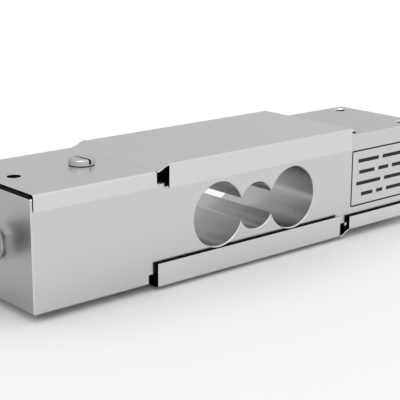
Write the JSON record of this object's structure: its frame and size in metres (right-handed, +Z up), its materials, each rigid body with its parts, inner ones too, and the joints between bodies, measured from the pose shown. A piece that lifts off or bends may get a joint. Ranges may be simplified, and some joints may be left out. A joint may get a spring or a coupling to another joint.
{
  "type": "bending beam load cell",
  "caption": "Single-point bending beam load cell: milled bar with a three-lobed bore, folded joggled covers over the strain gauges, tapped mounting holes at each end.",
  "frame": {"origin": "centre of the fixed end's four mounting holes, on the face that they open in", "axes": "+X along the beam to the load end, +Y across it to the back, +Z up towards the load"},
  "size_m": [0.163, 0.0384, 0.0344],
  "materials": {
    "machined_aluminium": "fine milled, clear anodised",
    "cover_steel": "bright rolled stainless sheet",
    "screw_steel": "bright nickel plated",
    "black_rubber": "matt sheet",
    "gland_nickel": "nickel plated",
    "gland_plastic": "fine matt",
    "gauge_foil": "amber film with foil",
    "clear_silicone": "soft translucent",
    "board_green": "solder mask",
    "resistor_ceramic": "glazed",
    "lead_insulation": "smooth"
  },
  "bodies": {
    "root": {"beam": "machined_aluminium", "upper_cover": "cover_steel", "lower_cover": "cover_steel", "upper_cover_gasket": "black_rubber", "lower_cover_gasket": "black_rubber", "upper_cover_screw": "screw_steel", "lower_cover_screw": "screw_steel", "gland_face_seal": "black_rubber", "gland_body": "gland_nickel", "gland_bush": "black_rubber", "gland_cap": "gland_plastic", "upper_gauge_fixed_side": "gauge_foil", "upper_gauge_load_side": "gauge_foil", "lower_gauge_fixed_side": "gauge_foil", "lower_gauge_load_side": "gauge_foil", "upper_coating_fixed_side": "clear_silicone", "upper_coating_load_side": "clear_silicone", "lower_coating_fixed_side": "clear_silicone", "lower_coating_load_side": "clear_silicone", "bridge_board": "board_green", "balance_resistors": "resistor_ceramic", "upper_lead_fixed_side": "lead_insulation", "upper_lead_load_side": "lead_insulation", "lower_lead_fixed_side": "lead_insulation", "lower_lead_load_side": "lead_insulation"}
  },
  "joints": []
}
